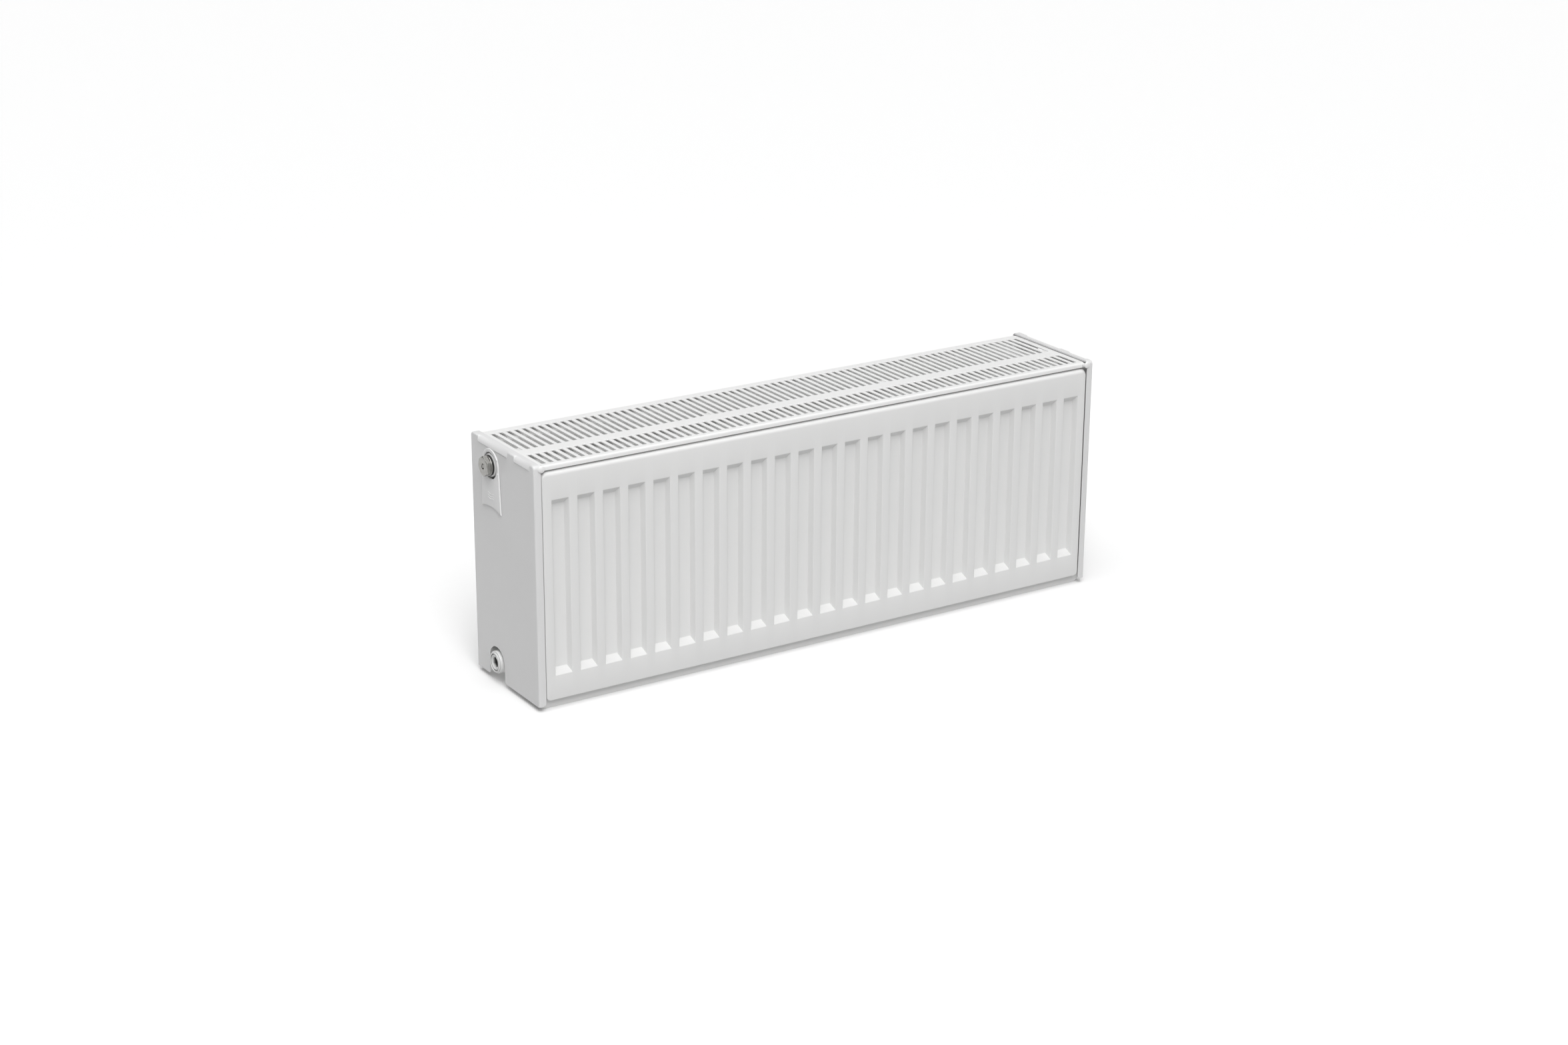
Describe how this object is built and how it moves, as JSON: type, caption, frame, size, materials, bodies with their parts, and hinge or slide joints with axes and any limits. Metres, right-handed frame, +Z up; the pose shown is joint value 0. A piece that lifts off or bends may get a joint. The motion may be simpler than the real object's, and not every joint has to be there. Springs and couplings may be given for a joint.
{
  "type": "panel radiator with bleed valve",
  "caption": "Low, deep steel panel radiator with ribbed water panels, inner convector fins, slotted top grille, clip-on side covers, a bleed valve and side pipe ports.",
  "frame": {"origin": "centre of the footprint of the whole part, plug and lugs included, at the level of the panels' lower edges; the radiator body's own centre is 4.6 mm to +X and 3.25 mm to -Y of it", "axes": "+X along the length, to the right as seen from the room; +Y towards the wall; +Z up"},
  "size_m": [0.8132, 0.1616, 0.3],
  "materials": {
    "enamel": "satin white powder coat on steel",
    "cover_enamel": "satin white powder coat on thin steel",
    "plug_enamel": "white coated brass",
    "nickel": "nickel-plated brass, slightly dull",
    "rubber": "matt",
    "badge_plastic": "moulded white plastic",
    "spring_steel": "white coated spring steel"
  },
  "bodies": {
    "radiator_body": {"front_panel_outer_sheet": "enamel", "front_panel_inner_sheet": "enamel", "middle_panel_front_sheet": "enamel", "middle_panel_rear_sheet": "enamel", "rear_panel_inner_sheet": "enamel", "rear_panel_outer_sheet": "enamel", "front_convector": "enamel", "middle_convector": "enamel", "rear_convector": "enamel", "tee_top_left": "enamel", "tee_bottom_left": "enamel", "tee_top_right": "enamel", "tee_bottom_right": "enamel", "link_top_left": "enamel", "link_bottom_left": "enamel", "link_top_right": "enamel", "link_bottom_right": "enamel", "vent_plug_body": "nickel", "vent_seal": "rubber", "blanking_plug": "plug_enamel", "blanking_plug_seal": "rubber", "upper_left_lug": "enamel", "lower_left_lug": "enamel", "upper_right_lug": "enamel", "lower_right_lug": "enamel"},
    "grille": {"top_grille": "enamel", "grille_clip_1": "spring_steel", "grille_clip_2": "spring_steel", "grille_clip_3": "spring_steel", "grille_clip_4": "spring_steel"},
    "left_cover": {"left_side_cover": "cover_enamel", "left_cover_clip_lower": "spring_steel", "left_cover_clip_upper": "spring_steel", "port_badge": "badge_plastic"},
    "right_cover": {"right_side_cover": "cover_enamel", "right_cover_clip_lower": "spring_steel", "right_cover_clip_upper": "spring_steel"},
    "bleed_screw": {"vent_screw": "nickel"}
  },
  "joints": [
    {"name": "bleed_screw_turn", "type": "hinge", "parent": "radiator_body", "child": "bleed_screw", "pos_m": [-0.4004, 0.02325, 0.273], "axis": [-1, 0, 0], "range_deg": [0, 450]},
    {"name": "grille_lift", "type": "slide", "parent": "radiator_body", "child": "grille", "axis": [0, 0, 1], "range_m": [0, 0.06]},
    {"name": "left_cover_pull", "type": "slide", "parent": "radiator_body", "child": "left_cover", "axis": [-1, 0, 0], "range_m": [0, 0.04]},
    {"name": "right_cover_pull", "type": "slide", "parent": "radiator_body", "child": "right_cover", "axis": [1, 0, 0], "range_m": [0, 0.04]}
  ]
}
